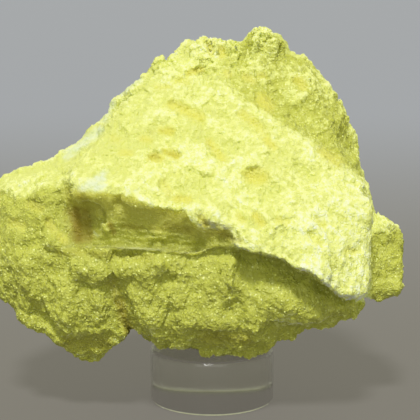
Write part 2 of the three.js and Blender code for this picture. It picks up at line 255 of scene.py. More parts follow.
def hashed(cells, seed):
    """A pseudo-random number from 0 to 1 for each row of three whole numbers, by a mixing of their bits."""
    x, y, z = (cells[:, n].astype(np.uint32) for n in range(3))
    h = x * np.uint32(0x8DA6B343) ^ y * np.uint32(0xD8163841) ^ z * np.uint32(0xCB1AB31F)
    h ^= np.uint32((seed * 0x9E3779B9) & 0xFFFFFFFF)
    h ^= h >> np.uint32(15)
    h *= np.uint32(0x85EBCA6B)
    h ^= h >> np.uint32(13)
    h *= np.uint32(0xC2B2AE35)
    h ^= h >> np.uint32(16)
    return h.astype(np.float32) * np.float32(1 / 4294967295)


def three_hashed(cells, seed):
    """Three pseudo-random numbers for each row."""
    return np.stack([hashed(cells, seed + n) for n in range(3)], axis=1)


def noise(points, size, seed):
    """Smooth noise from -1 to 1 with forms of about the given size."""
    scaled = points / size
    cell = np.floor(scaled)
    inside = (scaled - cell).astype(np.float32)
    cell = cell.astype(np.int64)
    fade = inside * inside * inside * (inside * (inside * 6 - 15) + 10)
    total = np.zeros(len(points), np.float32)
    for corner in CELL_CORNERS:
        weight = np.prod(np.where(corner, fade, 1 - fade), axis=1)
        slope = three_hashed(cell + corner, seed) * 2 - 1
        total += weight * np.sum(slope * (inside - corner), axis=1)
    return total * NOISE_GAIN


def drift(points, size, seed):
    """Three smooth noises for each point, to bend other forms with."""
    return np.stack([noise(points, size, seed + n) for n in range(3)], axis=1)


def broken(points, size, seed):
    """A packing of broken grains of about the given size. For each point: how far it is inside its
    grain, 0 between grains and 1 at the middle, and the height of its grain's own tilted face, about
    -1 to 1."""
    scaled = points / size
    base = np.floor(scaled - 0.5).astype(np.int64)
    nearest = np.full(len(points), np.inf, np.float32)
    second = nearest.copy()
    face = np.zeros(len(points), np.float32)
    for corner in CELL_CORNERS:
        at = base + corner
        jitter = three_hashed(at, seed)
        offset = (scaled - (at + 0.5 + (jitter - 0.5) * GRAIN_STRAY)).astype(np.float32)
        away = np.sqrt(np.sum(offset * offset, axis=1))
        # the remainder serves as another random number
        tilt = (jitter * 7.31 % 1.0) * 2 - 1
        closer = away < nearest
        second = np.where(closer, nearest, np.minimum(second, away))
        face = np.where(closer, np.sum(offset * tilt, axis=1) + (jitter[:, 1] - 0.5), face)
        nearest = np.minimum(nearest, away)
    return np.clip((second - nearest) * 1.5, 0, 1), face


def step_up(value, low, high):
    """0 below low, 1 above high, and smooth between."""
    t = np.clip((value - low) / (high - low), 0, 1)
    return t * t * (3 - 2 * t)


def past(value, step):
    """0 before the step's first limit, 1 past its second, and smooth between."""
    return step_up(value, *step)


def before(value, step):
    """1 before the step's first limit, 0 past its second, and smooth between."""
    return step_up(-value, -step[1], -step[0])


# The photograph's view, for placing features where they are seen

def sight_line(px, py):
    """The direction in which this place of the frame is seen."""
    right = (px - PHOTO_SIDE / 2) / FOCAL_PX
    rise = (PHOTO_SIDE / 2 - py) / FOCAL_PX
    cos, sin = math.cos(CAMERA_PITCH), math.sin(CAMERA_PITCH)
    return np.array([right, cos + rise * sin, -sin + rise * cos])


def seen_point(tree, pixel):
    """Where the sight line through this pixel meets the specimen, in millimetres. Where it passes by,
    the place is just inside the outline, at most a fifth of the way to the frame's middle."""
    middle = np.array([PHOTO_SIDE / 2, PHOTO_SIDE / 2])
    for share in np.linspace(0, 0.2, 21):
        nearby = pixel + share * (middle - pixel)
        hit = tree.ray_cast(Vector(CAMERA_AT), Vector(sight_line(*nearby)))[0]
        if hit is not None:
            return np.array(hit)
    raise ValueError(f"no sight line near {pixel} meets the specimen")


def projected(right, back, up):
    """Where places appear in the photograph's frame, and how far ahead of its camera they are. They
    are given as seen from the camera, along the axes of the model."""
    cos, sin = math.cos(CAMERA_PITCH), math.sin(CAMERA_PITCH)
    ahead = back * cos - up * sin
    rise = back * sin + up * cos
    return PHOTO_SIDE / 2 + FOCAL_PX * right / ahead, PHOTO_SIDE / 2 - FOCAL_PX * rise / ahead, ahead


def photo_pixels(points):
    """Where the points appear in the photograph's frame."""
    px, py, _ = projected(*(points - CAMERA_AT).T)
    return px, py


def above(px, py, line):
    """How many pixels each place is above the line, below zero under it."""
    xs, ys = zip(*line)
    return np.interp(px, xs, ys) - py


def within(px, span, soft):
    """1 between two columns of the frame, and 0 outside them, with a step of this many pixels at each."""
    first, last = span
    half = soft / 2
    return past(px, (first - half, first + half)) * before(px, (last - half, last + half))


def from_stretch(points, a, b):
    """The way to each point from the nearest place on the straight stretch from a to b."""
    along = b - a
    t = np.clip((points - a) @ along / max(float(along @ along), 1e-6), 0, 1)
    return points - (a + t[:, None] * along)


def near_stretch(tree, points, ends, radius, upper_wall=0.0):
    """How near each point is to the straight stretch seen between two pixels: 1 on it, 0 from the
    radius on. An upper wall above 0 makes the change steeper on the stretch's upper side."""
    a, b = (seen_point(tree, end) for end in ends)
    share = np.zeros(len(points), np.float32)
    reach = np.linalg.norm(b - a) / 2 + radius
    close = np.flatnonzero(np.abs(points - (a + b) / 2).max(axis=1) < reach)
    offset = from_stretch(points[close], a, b)
    away = np.linalg.norm(offset, axis=1) / radius
    width = 0.7 - upper_wall * np.clip(offset[:, 2] / radius * 2, 0, 1)
    share[close] = step_up(1 - away, 0, width)
    return share


def seen_near(points, stretches):
    """How near each point is seen to any of these stretches: the share that each has, and less
    towards its uneven edge, where its radius ends."""
    seen = np.stack(photo_pixels(points), axis=1)
    uneven = 0.22 * noise(points, 1.3, 48) + 0.15 * noise(points, 0.6, 49)
    found = np.zeros(len(points), np.float32)
    for *ends, radius, share in stretches:
        a, b = (np.array(end, float) for end in ends)
        away = np.linalg.norm(from_stretch(seen, a, b), axis=1) * PIXEL_MM / radius
        found = np.maximum(found, share * step_up(-away - uneven, -1.1, -0.1))
    return found


# What the surface is like from place to place

def front_share(normals):
    """1 where the surface faces the photograph's camera, 0 where it faces away."""
    return step_up(-normals[:, 1], -0.25, 0.15)


def face_lines(points):
    """Where each point is seen, and how many pixels it is above the uneven ridge, ledge and cliff edge."""
    px, py = photo_pixels(points)
    ragged = 4.5 * noise(points, 5.5, 40) + 2.5 * noise(points, 1.8, 41)
    ridge = above(px, py, RIDGE_PX) + ragged
    ledge = above(px, py, LEDGE_PX) + 0.5 * ragged
    cliff = above(px, py, CLIFF_PX) + ragged
    return px, py, ridge, ledge, cliff


def down_cliff(ledge, cliff):
    """How far down the cliff each point is: 0 at the cliff's edge and 1 at the ledge."""
    return np.clip(-cliff / np.maximum(ledge - cliff, 1), 0, 1)


def regions(points, normals):
    """How far each point belongs to each of the specimen's faces, as numbers from 0 to 1."""
    px, py, ridge, ledge, cliff = face_lines(points)
    front = front_share(normals)
    band = front * step_up(-ledge, -2, 4)
    patches = 0.5 * noise(points, 11.0, 50) + 0.25 * noise(points, 4.0, 51)
    return {
        "front": front,
        "upper": front * step_up(ridge, -1, 6) * past(px + UPPER_WANDER * patches, UPPER_COLUMNS),
        "band": band,
        "cliff": front * step_up(-cliff, -1, 3) * within(px, CLIFF_SPAN, soft=16) * (1 - band),
        "bulge": front * past(px, BULGE_COLUMNS) * past(py, BULGE_ROWS) * before(px, BULGE_END) * (1 - band),
        "block": front * past(px, BLOCK_COLUMNS) * past(py + BLOCK_WANDER * patches, BLOCK_ROWS) * (1 - band),
        "lobe": front * before(px, LOBE_END) * past(py + LOBE_WANDER * patches, LOBE_ROWS) * (1 - band),
        "back": (1 - front) * step_up(0.35 - normals[:, 2] + patches, 0.0, 0.5),
    }


def crest_share(px, py, front):
    """1 on the jagged crest along the specimen's top, as far as it faces the front."""
    crest = step_up(above(px, py, CREST_PX), 0, 12) * before(px, CREST_END)
    return np.maximum(crest, before(py, PEAK_FOOT) * past(px, PEAK_COLUMNS)) * front


def by_region(shares, elsewhere, **values):
    """A quantity that has its own value in each region named, and one value elsewhere."""
    total = elsewhere
    for region, value in values.items():
        total = total + shares[region] * (value - elsewhere)
    return total


def broad_relief(points, normals, tree):
    """How far the broad forms stand in or out at each point, in millimetres."""
    px, py, ridge, ledge, cliff = face_lines(points)
    shares = regions(points, normals)
    front = shares["front"]
    bent = points + 0.6 * drift(points, 3.1, 10)
    crest = crest_share(px, py, front)
    rough = by_region(
        shares, 1.0, upper=0.85, bulge=0.4, band=0.8, cliff=0.08, block=0.6, lobe=0.6, back=0.8
    )
    rough = np.maximum(rough, 0.9 * crest)

    # Broad swells, upright ribs on the band, and the lumps of the broken stone
    swells = SWELL_HEIGHT * noise(points, 8.0, 1) + 0.3 * noise(bent, 3.6, 2)
    out = swells * (1 - 0.7 * shares["cliff"])
    out += RIB_HEIGHT * shares["band"] * noise(bent * np.array([1.0, 1.0, 0.25]), 4.6, 5)
    _, block_face = broken(bent, BLOCK_SIZE, 60)
    out += (0.12 + 0.35 * rough * (1 - 0.5 * shares["band"]) + 0.2 * crest) * block_face
    inside_lump, lump_face = broken(bent * np.array([1.0, 1.0, 0.6]), LUMP_SIZE, 20)
    out += (0.08 + 0.12 * rough + 0.65 * crest) * lump_face
    out += (0.06 + 0.40 * rough) * (1 - 0.6 * crest) * (np.sqrt(inside_lump) - 0.6)

    # The face behind the ridge lies back, most of all along the ridge
    upper = past(px, LYING_BACK_COLUMNS) * front
    out -= upper * LYING_BACK_DEPTH * step_up(ridge, 0, 9) * (1 - 0.7 * step_up(ridge, 10, 44))
    out += upper * 0.15 * step_up(ridge, -9, -1) * step_up(-ridge, -1, 2)

    # The cliff below the front face with its thin layers, the ledge at its foot, and the crack under that
    cut = front * within(px, CUT_SPAN, soft=20) * step_up(-cliff, 0, 2) * step_up(ledge, 0, 2)
    down = down_cliff(ledge, cliff)
    out -= cut * (0.2 + CLIFF_DEPTH * down)
    layers = (ledge + 3.0 * noise(points * np.array([0.3, 1.0, 1.0]), 2.0, 43)) / 6.5 % 1.0
    out += cut * LAYER_HEIGHT * (layers - 0.5) * step_up(down, 0.4, 0.6)
    lip = front * within(px, LIP_SPAN, soft=16) * step_up(noise(points, 6.0, 42), -0.8, 0.1)
    out += lip * LIP_HEIGHT * step_up(ledge, -1.5, 0.5) * step_up(-ledge, -6, -2)
    out -= lip * CRACK_DEPTH * step_up(-ledge, 0.5, 2.5) * step_up(ledge, -14, -5)
    overhang = front * within(px, OVERHANG_SPAN, soft=10)
    out -= overhang * OVERHANG_DEPTH * step_up(-ledge, 1, 4) * step_up(ledge, -46, -22)

    # The pits, hollows and lumps, one by one
    uneven = points + 0.5 * drift(points, 1.7, 70)
    for *ends, radius, depth, _ in PITS_PX:
        out -= PIT_SCALE * depth * near_stretch(tree, uneven, ends, radius * PIT_SCALE, PIT_TOP_WALL)
    for *ends, radius, depth in HOLLOWS_PX:
        out -= depth * near_stretch(tree, uneven, ends, radius * STRETCH_SCALE)
    for *ends, radius, height in LUMPS_PX:
        out += height * near_stretch(tree, uneven, ends, radius * STRETCH_SCALE)
    return np.clip(out, RELIEF_MARGIN - RELIEF_REACH, RELIEF_REACH - RELIEF_MARGIN)


def fine_relief(points, normals):
    """How far the grains of the broken surface stand in or out at each point, in millimetres."""
    px, py = photo_pixels(points)
    shares = regions(points, normals)
    crest = crest_share(px, py, shares["front"])
    rough = by_region(
        shares, 0.65, upper=0.6, bulge=0.4, band=0.7, cliff=0.06, block=0.7, lobe=0.7, back=0.8
    )
    rough = np.maximum(rough, 0.7 * crest)
    bent = points + 0.35 * drift(points, 1.6, 80)
    out = 0.18 * noise(bent * np.array([1.2, 1.2, 0.7]), 1.5, 84) * (1 - 0.8 * shares["cliff"])
    inside_clump, clump_face = broken(bent * np.array([1.0, 1.0, 0.5]), CLUMP_SIZE, 90)
    out += (0.05 + 0.16 * rough + 0.3 * crest) * clump_face
    out += (0.05 + 0.22 * rough) * (1 - 0.5 * crest) * (np.sqrt(inside_clump) - 0.6)
    inside_grain, grain_face = broken(bent * np.array([1.0, 1.0, 0.6]), GRAIN_SIZE, 30)
    out += (0.09 + 0.12 * rough + 0.1 * crest) * grain_face
    out += (0.05 + 0.13 * rough) * (np.sqrt(inside_grain) - 0.6)
    return out


def whole_relief(points, normals, tree):
    """How far the finished surface stands in or out at each point, in millimetres."""
    return broad_relief(points, normals, tree) + fine_relief(points, normals)


def shared_out(work, points, normals, *needs):
    """The work's result for all the points, worked out in a few parts at the same time."""
    parts = zip(np.array_split(points, WORKERS), np.array_split(normals, WORKERS))
    with ThreadPoolExecutor(WORKERS) as pool:
        done = list(pool.map(lambda part: work(*part, *needs), parts))
    return np.concatenate(done)


# The specimen's surface

def read_rows(items, name, kind):
    """One property of all these items, as rows of three numbers."""
    values = np.empty(len(items) * 3, kind)
    items.foreach_get(name, values)
    return values.reshape(-1, 3)


def mesh_triangles(mesh):
    """The corners of each of the mesh's triangles, as numbers of its vertices."""
    mesh.calc_loop_triangles()
    return read_rows(mesh.loop_triangles, "vertices", np.int32)


def corners_and_normals(mesh):
    """Where the mesh's vertices are, in millimetres, and their normals."""
    return read_rows(mesh.vertices, "co", np.float32) / MM, read_rows(mesh.vertices, "normal", np.float32)


def solid_arrays(mesh):
    """The solid's corners in millimetres, with doubles joined, and its triangles."""
    points = read_rows(mesh.vertices, "co", np.float32) / MM
    _, first, same = np.unique(np.round(points, 3), axis=0, return_index=True, return_inverse=True)
    return points[first], same.reshape(-1)[mesh_triangles(mesh)].astype(np.uint32)


# A field of numbers on a regular grid: its values, where its first corner is, and the pitch in millimetres
Grid = namedtuple("Grid", "values first pitch")


def softened(values):
    """The values with a small blur, which takes the flat facets off."""
    for axis in range(3):
        values = (np.roll(values, 1, axis) + 2 * values + np.roll(values, -1, axis)) / 4
    return values


def distance_grid(points, triangles):
    """Distances from the solid's surface, below zero inside."""
    made = openvdb.FloatGrid.createLevelSetFromPolygons(
        points, triangles=triangles, transform=openvdb.createLinearTransform(voxelSize=BROAD_PITCH),
        exBandWidth=BAND, inBandWidth=BAND
    )
    margin = BAND + 2
    low = np.floor(points.min(0) / BROAD_PITCH).astype(int) - margin
    high = np.ceil(points.max(0) / BROAD_PITCH).astype(int) + margin
    values = np.zeros(tuple(high - low), np.float32)
    made.copyToArray(values, ijk=tuple(int(n) for n in low))
    for _ in range(SOFTEN_PASSES):
        values = softened(values)
    return Grid(values, low * BROAD_PITCH, BROAD_PITCH)


def nearest_cells(grid, points):
    """The cells of the grid that are nearest to the points and have neighbours on every side."""
    cells = np.round((points - grid.first) / grid.pitch).astype(int)
    return np.clip(cells, SLOPE_REACH, np.array(grid.values.shape) - 1 - SLOPE_REACH)


def outward(grid, cells):
    """The direction in which the field grows round these cells of the grid."""
    slopes = []
    for axis in range(3):
        step = np.eye(3, dtype=int)[axis] * SLOPE_REACH
        slopes.append(grid.values[tuple((cells + step).T)] - grid.values[tuple((cells - step).T)])
    slope = np.stack(slopes, axis=1)
    return slope / np.maximum(np.linalg.norm(slope, axis=1, keepdims=True), 1e-6)


def with_relief(grid, tree):
    """The solid's field with the broad forms added."""
    near = np.argwhere(np.abs(grid.values) < RELIEF_REACH)
    places = (near * grid.pitch + grid.first).astype(np.float32)
    values = grid.values.copy()
    values[tuple(near.T)] -= shared_out(broad_relief, places, outward(grid, near), tree)
    return Grid(values, grid.first, grid.pitch)


def finer(grid):
    """The same field on a finer grid."""
    values = grid.values
    for axis in range(3):
        count = int((values.shape[axis] - 1) * FINER) + 1
        at = np.arange(count) / FINER
        base = np.minimum(at.astype(int), values.shape[axis] - 2)
        share = (at - base).astype(np.float32).reshape([-1 if n == axis else 1 for n in range(3)])
        values = np.take(values, base, axis) * (1 - share) + np.take(values, base + 1, axis) * share
    return Grid(values, grid.first, grid.pitch / FINER)


def cell_places(grid):
    """The coordinates of the grid's cells in millimetres, as three arrays that combine to its shape."""
    along = (np.arange(count) * grid.pitch + grid.first[n] for n, count in enumerate(grid.values.shape))
    return np.meshgrid(*along, indexing="ij", sparse=True)


def under_ledge(grid):
    """How many millimetres each cell is below the crack under the ledge, as the camera sees it."""
    px, py, ahead = projected(*(places - start for places, start in zip(cell_places(grid), CAMERA_AT)))
    return (-above(px, py, LEDGE_PX) * ahead / FOCAL_PX).astype(np.float32)


def behind_crest(grid):
    """How far each cell is behind an uneven upright cut through the specimen, in millimetres."""
    x, y, z = cell_places(grid)
    wave = np.sin(x / 3.1 + np.sin(z / 4.3)) + 0.6 * np.sin(z / 2.3 + 2 * np.sin(x / 5.2))
    return (y - BACK_FROM - CUT_WAVE * wave).astype(np.float32)


def outer_piece(points, quads):
    """Only the largest connected piece of the surface."""
    label = np.arange(len(points))
    edges = np.concatenate([quads[:, [0, 1]], quads[:, [1, 2]], quads[:, [2, 3]]])
    while True:
        least = np.minimum(label[edges[:, 0]], label[edges[:, 1]])
        spread = label.copy()
        np.minimum.at(spread, edges[:, 0], least)
        np.minimum.at(spread, edges[:, 1], least)
        spread = spread[spread]
        if np.array_equal(spread, label):
            break
        label = spread
    names, counts = np.unique(label[quads[:, 0]], return_counts=True)
    kept = quads[label[quads[:, 0]] == names[np.argmax(counts)]]
    used, renumbered = np.unique(kept, return_inverse=True)
    return points[used], renumbered.reshape(-1, 4)


def cut_surface(grid, *sides):
    """The surface of the solid's part that lies on the inner side of every cut, which each side measures."""
    values = grid.values
    for side in sides:
        values = np.maximum(values, side - OVERLAP)
    made = openvdb.FloatGrid(BAND * grid.pitch)
    made.transform = openvdb.createLinearTransform(voxelSize=grid.pitch)
    made.copyFromArray(values)
    points, _, quads = made.convertToPolygons(isovalue=0, adaptivity=0)
    return outer_piece(points + grid.first, quads.astype(np.int64))


def grained(points, grid, smooth):
    """The points moved out or in by the fine relief, where they aren't on a cut face inside the solid."""
    cells = nearest_cells(grid, points)
    normals = outward(grid, cells)
    outside = past(grid.values[tuple(cells.T)], FINE_RELIEF_END)
    broad_normals = outward(smooth, nearest_cells(smooth, points))
    height = shared_out(fine_relief, points.astype(np.float32), broad_normals)
    return points + normals * (outside * height)[:, None]


def mesh_object(name, points, faces):
    """An object in the scene with these corners, in millimetres, and faces that all have as many corners."""
    mesh = bpy.data.meshes.new(name)
    mesh.vertices.add(len(points))
    mesh.vertices.foreach_set("co", (points * MM).astype(np.float32).ravel())
    mesh.loops.add(faces.size)
    mesh.loops.foreach_set("vertex_index", faces.astype(np.int32).ravel())
    mesh.polygons.add(len(faces))
    mesh.polygons.foreach_set("loop_start", np.arange(len(faces), dtype=np.int32) * faces.shape[1])
    mesh.update(calc_edges=True)
    mesh.validate()
    obj = bpy.data.objects.new(name, mesh)
    bpy.context.scene.collection.objects.link(obj)
    return obj


def thinned(obj, ratio):
    """Leaves about this share of the object's triangles, with nearly the same shape."""
    modifier = obj.modifiers.new("decimate", "DECIMATE")
    modifier.ratio = ratio
    shown = obj.evaluated_get(bpy.context.evaluated_depsgraph_get())
    mesh = bpy.data.meshes.new_from_object(shown)
    obj.modifiers.clear()
    obj.data = mesh


def write_share(mesh, name, values):
    """Keeps one number from 0 to 1 for each vertex, for the material to read."""
    mesh.attributes.new(name, "FLOAT", "POINT").data.foreach_set("value", values.astype(np.float32))


def cliff_top(shares, ledge, cliff):
    """1 on the upper part of the cliff."""
    return shares["cliff"] * step_up(-down_cliff(ledge, cliff), -0.75, -0.15)


def cliff_foot(shares, ledge):
    """1 on the strip of the cliff just above the ledge."""
    return shares["cliff"] * step_up(-ledge, -24, -8)


def paleness_of(points, shares, key_lit, height):
    """How pale the stone is at each point: its face's own value, paler on faces turned to the key light and
    deeper on those turned away, as painted light and shade, paler on raised places and deeper in hollows,
    partly dusty tops and partly painted shade, with more painted light and shade on the cliff and the band."""
    px, py, _, ledge, cliff = face_lines(points)
    front = shares["front"]
    face = shares["cliff"]
    # Each face has its own paleness; the low values of the band and the block partly paint the shade they lie
    # in, and the bulge's high one partly paints the light on it
    pale = by_region(
        shares, 1.13, upper=1.05, bulge=1.22, band=0.40, cliff=0.36, block=0.30, lobe=0.48, back=0.50
    )
    # Painted light and shade: fine faces turned to the key light are paler, those turned away deeper yellow
    # Raised places are paler and hollows deeper: partly dusty tops, partly painted shade
    pale = pale + 0.7 * (key_lit - PAINTED_LIGHT_RANGE[1]) + 0.2 * np.clip(height, -1.2, 0.5)
    pale = pale - 0.06 * crest_share(px, py, front)
    # Painted light: the band's right part, under the overhang, is made paler to lift its shade
    pale = pale + 0.22 * shares["band"] * past(px, PAINTED_LIGHT_FOOT_COLUMNS)
    pale = pale - 0.16 * front * before(px, SHADED_END) * before(py, SHADED_FOOT)
    # Painted light and shade on the cliff: its top paler, its foot deeper
    pale = pale + 0.17 * face + 0.12 * cliff_top(shares, ledge, cliff) - 0.20 * cliff_foot(shares, ledge)
    return pale + 0.14 * face * noise(points, 4.5, 47)


def surface_shares(mesh, smooth, tree):
    """What the surface is like at each of the mesh's vertices, as numbers from 0 to 1: how clean its crystals
    are, how clear they are, how pale it is, partly painted light and shade, how golden, partly painted light
    on the cliff's top, where it is darkened, partly its own deep brown and mostly painted shade, where it is
    whitened, partly dusty and partly painted highlights, how far its fine faces turn to the key light, and
    how far it faces the front."""
    points, fine_normals = corners_and_normals(mesh)
    normals = outward(smooth, nearest_cells(smooth, points))
    shares = regions(points, normals)
    front = shares["front"]
    _, _, _, ledge, cliff = face_lines(points)
    least, most = PAINTED_LIGHT_RANGE
    # How far each fine face turns to the key light, for painted light and shade
    key_lit = np.clip(fine_normals @ PAINTED_LIGHT_SIDE, least, most)
    height = shared_out(whole_relief, points, normals, tree)
    golden_pits = [(a, b, STRETCH_SCALE * radius, golden) for a, b, radius, _, golden in PITS_PX]
    gold = seen_near(points, golden_pits) * front
    # Painted shade, partly the stone's own deep brown
    amber_and_shade = seen_near(points, AMBER_AND_SHADE_PX) * front
    # Up-facing places take the white, dusty on the corner and a painted highlight on rims and spots
    up_dust_and_highlight = step_up(normals[:, 2], -0.2, 0.3) * (0.75 + 0.5 * noise(points, 1.2, 46))
    found = {
        "crystal": by_region(shares, 0.0, upper=0.6, band=1.0, cliff=0.5, block=0.8, lobe=0.7, back=1.0),
        "clear": by_region(shares, 0.0, upper=0.1, band=0.15, cliff=1.0, block=0.15, lobe=0.1, back=0.15),
        "pale": paleness_of(points, shares, key_lit, height),
        # The cliff's top is painted golden as painted light, and its foot darkened as painted shade
        "gold": np.maximum(gold, 0.55 * cliff_top(shares, ledge, cliff)),
        "amber_and_shade": np.maximum(amber_and_shade, 0.12 * cliff_foot(shares, ledge)),
        "white": seen_near(points, WHITE_PX) * up_dust_and_highlight,
        "key_lit": (key_lit - least) / (most - least),
        "front": front,
    }
    return {share: np.clip(values, 0, 1) for share, values in found.items()}


def surface_piece(name, shape, smooth, tree, *sides):
    """One closed piece of the specimen's surface, with its own shares."""
    points, quads = cut_surface(shape, *sides)
    # the faces come out of the grid wound inwards
    obj = mesh_object(name, grained(points, shape, smooth), quads[:, ::-1])
    thinned(obj, min(1.0, PIECE_TRIANGLES / (2 * len(quads))))
    obj.data.shade_smooth()
    obj.data.set_sharp_from_angle(angle=SEAM_ANGLE)
    shares = surface_shares(obj.data, smooth, tree)
    for share, values in shares.items():
        write_share(obj.data, share, values)
    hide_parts("sulfur")
    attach(obj, "root")
    return obj, shares


def make_surface(smooth, tree):
    """The front face and all above the ledge, the band below it, and the back."""
    shape = finer(with_relief(smooth, tree))
    below = under_ledge(shape)
    behind = behind_crest(shape)
    return [
        surface_piece("sulfur_front", shape, smooth, tree, below, behind),
        surface_piece("sulfur_foot", shape, smooth, tree, -below, behind),
        surface_piece("sulfur_back", shape, smooth, tree, -behind),
    ]


# The small crystals, joined in one mesh for each piece

DIPYRAMID = np.array([[1, 0, 0], [-1, 0, 0], [0, 1, 0], [0, -1, 0], [0, 0, 1], [0, 0, -1]], np.float32)
DIPYRAMID_FACES = np.array([
    [0, 2, 4], [2, 1, 4], [1, 3, 4], [3, 0, 4], [2, 0, 5], [1, 2, 5], [3, 1, 5], [0, 3, 5],
])


def turned(rng, count):
    """Random turns, as one matrix for each grain."""
    turns = rng.normal(size=(4, count))
    a, b, c, d = turns / np.linalg.norm(turns, axis=0)
    rows = [
        [1 - 2 * (c * c + d * d), 2 * (b * c - a * d), 2 * (b * d + a * c)],
        [2 * (b * c + a * d), 1 - 2 * (b * b + d * d), 2 * (c * d - a * b)],
        [2 * (b * d - a * c), 2 * (c * d + a * b), 1 - 2 * (b * b + c * c)],
    ]
    return np.array(rows).transpose(2, 0, 1)


def spread_over(mesh, shares, count, rng):
    """Random places on the mesh, more where its vertices' shares are high, and a vertex near each."""
    triangles = mesh_triangles(mesh)
    points, _ = corners_and_normals(mesh)
    a, b, c = (points[triangles[:, n]] for n in range(3))
    area = np.linalg.norm(np.cross(b - a, c - a), axis=1)
    weight = area * shares[triangles].mean(1)
    picked = rng.choice(len(triangles), count, p=weight / weight.sum())
    u, v = rng.random((2, count, 1))
    u, v = np.where(u + v > 1, 1 - u, u), np.where(u + v > 1, 1 - v, v)
    return a[picked] + u * (b - a)[picked] + v * (c - a)[picked], triangles[picked, 0]


def make_grains(name, surface, shares, weight):
    """A joined mesh of small dipyramids, each half sunk in the surface."""
    rng = np.random.default_rng(GRAIN_SEED)
    places, owner = spread_over(surface.data, weight, GRAIN_COUNT, rng)
    size = GRAIN_RADIUS * np.exp(rng.normal(0, GRAIN_VARIETY, (GRAIN_COUNT, 1, 1)))
    size = np.clip(size, GRAIN_SIZES[0] * GRAIN_RADIUS, GRAIN_SIZES[1] * GRAIN_RADIUS)
    shape = DIPYRAMID[None] * size * rng.uniform(1 - GRAIN_STRETCH, 1 + GRAIN_STRETCH, (GRAIN_COUNT, 1, 3))
    corners = np.einsum("nij,nkj->nki", turned(rng, GRAIN_COUNT), shape) + places[:, None]
    first = len(DIPYRAMID) * np.arange(GRAIN_COUNT)
    faces = (DIPYRAMID_FACES[None] + first[:, None, None]).reshape(-1, 3)
    obj = mesh_object(name, corners.reshape(-1, 3), faces)
    own = {share: values[owner] for share, values in shares.items()}
    own["tone"] = rng.random(GRAIN_COUNT)
    for share, values in own.items():
        write_share(obj.data, share, np.repeat(values, len(DIPYRAMID)))
    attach(obj, "root")
    return obj


# Materials

DEEP_YELLOW = (0.43, 0.45, 0.075)
LEMON_YELLOW = (0.78, 0.83, 0.26)
PALE_YELLOW = (0.87, 0.94, 0.76)
PIT_GOLD = (0.62, 0.59, 0.11)
# Dark brown, partly the stone's own colour and mostly painted shade
AMBER_AND_SHADE = (0.25, 0.205, 0.02)
# White, dusty on the front corner and a painted highlight on rims and in the recess
WHITE_DUST_AND_HIGHLIGHT = (0.64, 0.72, 0.45)
ACRYLIC_SHADE_TINT = (0.84, 0.84, 0.78)

# How deep light goes into dull and into clear stone, in millimetres
DULL_DEPTH = 0.3
CLEAR_DEPTH = 5.0


def new_material(name):
    """A material with its nodes and its main shader."""
    material = bpy.data.materials.new(name)
    material.use_nodes = True
    return material, material.node_tree, material.node_tree.nodes["Principled BSDF"]


def set_inputs(node, values):
    """Gives the node these values at its inputs."""
    for name, value in values.items():
        node.inputs[name].default_value = value


def share_of(tree, name):
    """The number that the mesh keeps under this name."""
    node = tree.nodes.new("ShaderNodeAttribute")
    node.attribute_name = name
    return node.outputs["Fac"]


def object_place(tree):
    """Where each point of the object is, in metres."""
    return tree.nodes.new("ShaderNodeTexCoord").outputs["Object"]


def speckle(tree, size_mm, detail, roughness):
    """Noise with forms of about the given size."""
    node = tree.nodes.new("ShaderNodeTexNoise")
    set_inputs(node, {"Scale": 1 / (size_mm * MM), "Detail": detail, "Roughness": roughness})
    tree.links.new(object_place(tree), node.inputs["Vector"])
    return node.outputs["Fac"]


def between(tree, value, low, high, start=0.0, end=1.0):
    """The value's place between low and high, from start to end and smooth."""
    node = tree.nodes.new("ShaderNodeMapRange")
    node.interpolation_type = "SMOOTHSTEP"
    tree.links.new(value, node.inputs["Value"])
    set_inputs(node, {"From Min": low, "From Max": high, "To Min": start, "To Max": end})
    return node.outputs["Result"]


def blended(tree, factor, first, second):
    """The first colour where the factor is 0, the second where it is 1."""
    node = tree.nodes.new("ShaderNodeMix")
    node.data_type = "RGBA"
    tree.links.new(factor, node.inputs["Factor"])
    for name, colour in (("A", first), ("B", second)):
        socket = next(s for s in node.inputs if s.name == name and s.type == "RGBA")
        if isinstance(colour, tuple):
            socket.default_value = (*colour, 1)
        else:
            tree.links.new(colour, socket)
    return next(s for s in node.outputs if s.type == "RGBA")


def grain_cells(tree, size_mm):
    """A packing of grains of about this size: how far each place is from its grain's middle, in grain
    sizes, and a random number for each grain."""
    node = tree.nodes.new("ShaderNodeTexVoronoi")
    set_inputs(node, {"Scale": 1 / (size_mm * MM)})
    tree.links.new(object_place(tree), node.inputs["Vector"])
    parts = tree.nodes.new("ShaderNodeSeparateColor")
    tree.links.new(node.outputs["Color"], parts.inputs["Color"])
    return node.outputs["Distance"], parts.outputs["Red"]


def bumped(tree, shader, height, height_mm, strength):
    """Fine bumps too small to model. The height goes from 0 to 1."""
    bump = tree.nodes.new("ShaderNodeBump")
    set_inputs(bump, {"Strength": strength, "Distance": height_mm * MM})
    tree.links.new(height, bump.inputs["Height"])
    tree.links.new(bump.outputs["Normal"], shader.inputs["Normal"])


def worked_out(tree, operation, *values):
    """The result of one operation on numbers and other nodes' results."""
    node = tree.nodes.new("ShaderNodeMath")
    node.operation = operation
    for socket, value in zip(node.inputs, values):
        if isinstance(value, float):
            socket.default_value = value
        else:
            tree.links.new(value, socket)
    return node.outputs["Value"]


def added(tree, first, second, weight):
    """The first number plus the second one times the weight."""
    return worked_out(tree, "MULTIPLY_ADD", second, weight, first)


def times(tree, first, second):
    """The product of two numbers."""
    return worked_out(tree, "MULTIPLY", first, second)


def at_least(tree, value, least):
    """The value, or the least one where that is higher."""
    return worked_out(tree, "MAXIMUM", value, least)


